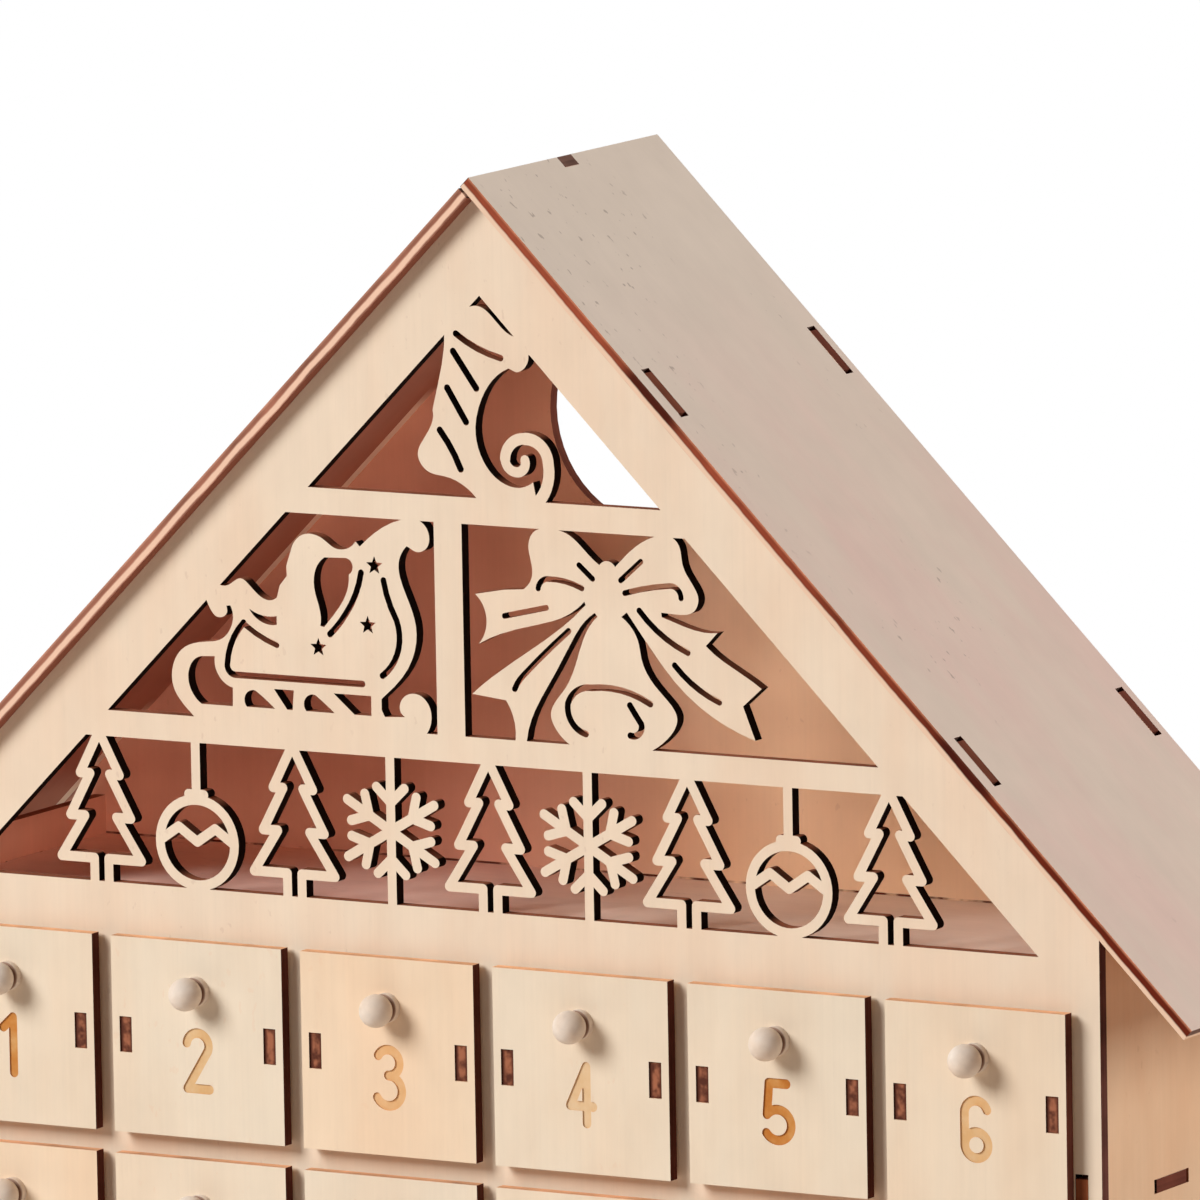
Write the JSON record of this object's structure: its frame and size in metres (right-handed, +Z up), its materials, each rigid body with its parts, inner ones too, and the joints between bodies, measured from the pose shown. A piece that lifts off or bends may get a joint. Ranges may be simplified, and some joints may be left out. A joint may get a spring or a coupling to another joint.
{
  "type": "advent calendar",
  "caption": "House-shaped wooden advent calendar: fretwork gable and pitched roof over a grid of small numbered drawers that slide out by turned knobs.",
  "frame": {"origin": "on the surface it stands on, under the middle of the whole object", "axes": "+Z up, -Y the way the drawers slide out, +X to the right seen from the front"},
  "size_m": [0.3572, 0.0936, 0.3787],
  "materials": {
    "front_ply": "bare sanded birch ply with burnt cut edges",
    "inner_ply": "bare birch ply",
    "wall_ply": "bare birch ply with burnt cut edges",
    "roof_ply": "bare birch ply with burnt cut edges",
    "drawer_ply": "bare birch ply with burnt edges and a burnt number",
    "knob_wood": "bare turned wood"
  },
  "bodies": {
    "house": {"front_panel": "front_ply", "back_panel": "inner_ply", "left_wall": "wall_ply", "right_wall": "wall_ply", "left_roof": "roof_ply", "right_roof": "roof_ply", "base_panel": "inner_ply", "attic_floor": "inner_ply", "dividers": "inner_ply", "shelf_1": "inner_ply", "shelf_2": "inner_ply", "shelf_3": "inner_ply"},
    "drawer_01": {"drawer_01_box": "drawer_ply", "drawer_01_knob": "knob_wood"},
    "drawer_02": {"drawer_02_box": "drawer_ply", "drawer_02_knob": "knob_wood"},
    "drawer_03": {"drawer_03_box": "drawer_ply", "drawer_03_knob": "knob_wood"},
    "drawer_04": {"drawer_04_box": "drawer_ply", "drawer_04_knob": "knob_wood"},
    "drawer_05": {"drawer_05_box": "drawer_ply", "drawer_05_knob": "knob_wood"},
    "drawer_06": {"drawer_06_box": "drawer_ply", "drawer_06_knob": "knob_wood"},
    "drawer_07": {"drawer_07_box": "drawer_ply", "drawer_07_knob": "knob_wood"},
    "drawer_08": {"drawer_08_box": "drawer_ply", "drawer_08_knob": "knob_wood"},
    "drawer_09": {"drawer_09_box": "drawer_ply", "drawer_09_knob": "knob_wood"},
    "drawer_10": {"drawer_10_box": "drawer_ply", "drawer_10_knob": "knob_wood"},
    "drawer_11": {"drawer_11_box": "drawer_ply", "drawer_11_knob": "knob_wood"},
    "drawer_12": {"drawer_12_box": "drawer_ply", "drawer_12_knob": "knob_wood"},
    "drawer_13": {"drawer_13_box": "drawer_ply", "drawer_13_knob": "knob_wood"},
    "drawer_14": {"drawer_14_box": "drawer_ply", "drawer_14_knob": "knob_wood"},
    "drawer_15": {"drawer_15_box": "drawer_ply", "drawer_15_knob": "knob_wood"},
    "drawer_16": {"drawer_16_box": "drawer_ply", "drawer_16_knob": "knob_wood"},
    "drawer_17": {"drawer_17_box": "drawer_ply", "drawer_17_knob": "knob_wood"},
    "drawer_18": {"drawer_18_box": "drawer_ply", "drawer_18_knob": "knob_wood"},
    "drawer_19": {"drawer_19_box": "drawer_ply", "drawer_19_knob": "knob_wood"},
    "drawer_20": {"drawer_20_box": "drawer_ply", "drawer_20_knob": "knob_wood"},
    "drawer_21": {"drawer_21_box": "drawer_ply", "drawer_21_knob": "knob_wood"},
    "drawer_22": {"drawer_22_box": "drawer_ply", "drawer_22_knob": "knob_wood"},
    "drawer_23": {"drawer_23_box": "drawer_ply", "drawer_23_knob": "knob_wood"},
    "drawer_24": {"drawer_24_box": "drawer_ply", "drawer_24_knob": "knob_wood"}
  },
  "joints": [
    {"name": "drawer_01_slide", "type": "slide", "parent": "house", "child": "drawer_01", "axis": [0, -1, 0], "range_m": [0, 0.06]},
    {"name": "drawer_02_slide", "type": "slide", "parent": "house", "child": "drawer_02", "axis": [0, -1, 0], "range_m": [0, 0.06]},
    {"name": "drawer_03_slide", "type": "slide", "parent": "house", "child": "drawer_03", "axis": [0, -1, 0], "range_m": [0, 0.06]},
    {"name": "drawer_04_slide", "type": "slide", "parent": "house", "child": "drawer_04", "axis": [0, -1, 0], "range_m": [0, 0.06]},
    {"name": "drawer_05_slide", "type": "slide", "parent": "house", "child": "drawer_05", "axis": [0, -1, 0], "range_m": [0, 0.06]},
    {"name": "drawer_06_slide", "type": "slide", "parent": "house", "child": "drawer_06", "axis": [0, -1, 0], "range_m": [0, 0.06]},
    {"name": "drawer_07_slide", "type": "slide", "parent": "house", "child": "drawer_07", "axis": [0, -1, 0], "range_m": [0, 0.06]},
    {"name": "drawer_08_slide", "type": "slide", "parent": "house", "child": "drawer_08", "axis": [0, -1, 0], "range_m": [0, 0.06]},
    {"name": "drawer_09_slide", "type": "slide", "parent": "house", "child": "drawer_09", "axis": [0, -1, 0], "range_m": [0, 0.06]},
    {"name": "drawer_10_slide", "type": "slide", "parent": "house", "child": "drawer_10", "axis": [0, -1, 0], "range_m": [0, 0.06]},
    {"name": "drawer_11_slide", "type": "slide", "parent": "house", "child": "drawer_11", "axis": [0, -1, 0], "range_m": [0, 0.06]},
    {"name": "drawer_12_slide", "type": "slide", "parent": "house", "child": "drawer_12", "axis": [0, -1, 0], "range_m": [0, 0.06]},
    {"name": "drawer_13_slide", "type": "slide", "parent": "house", "child": "drawer_13", "axis": [0, -1, 0], "range_m": [0, 0.06]},
    {"name": "drawer_14_slide", "type": "slide", "parent": "house", "child": "drawer_14", "axis": [0, -1, 0], "range_m": [0, 0.06]},
    {"name": "drawer_15_slide", "type": "slide", "parent": "house", "child": "drawer_15", "axis": [0, -1, 0], "range_m": [0, 0.06]},
    {"name": "drawer_16_slide", "type": "slide", "parent": "house", "child": "drawer_16", "axis": [0, -1, 0], "range_m": [0, 0.06]},
    {"name": "drawer_17_slide", "type": "slide", "parent": "house", "child": "drawer_17", "axis": [0, -1, 0], "range_m": [0, 0.06]},
    {"name": "drawer_18_slide", "type": "slide", "parent": "house", "child": "drawer_18", "axis": [0, -1, 0], "range_m": [0, 0.06]},
    {"name": "drawer_19_slide", "type": "slide", "parent": "house", "child": "drawer_19", "axis": [0, -1, 0], "range_m": [0, 0.06]},
    {"name": "drawer_20_slide", "type": "slide", "parent": "house", "child": "drawer_20", "axis": [0, -1, 0], "range_m": [0, 0.06]},
    {"name": "drawer_21_slide", "type": "slide", "parent": "house", "child": "drawer_21", "axis": [0, -1, 0], "range_m": [0, 0.06]},
    {"name": "drawer_22_slide", "type": "slide", "parent": "house", "child": "drawer_22", "axis": [0, -1, 0], "range_m": [0, 0.06]},
    {"name": "drawer_23_slide", "type": "slide", "parent": "house", "child": "drawer_23", "axis": [0, -1, 0], "range_m": [0, 0.06]},
    {"name": "drawer_24_slide", "type": "slide", "parent": "house", "child": "drawer_24", "axis": [0, -1, 0], "range_m": [0, 0.06]}
  ]
}
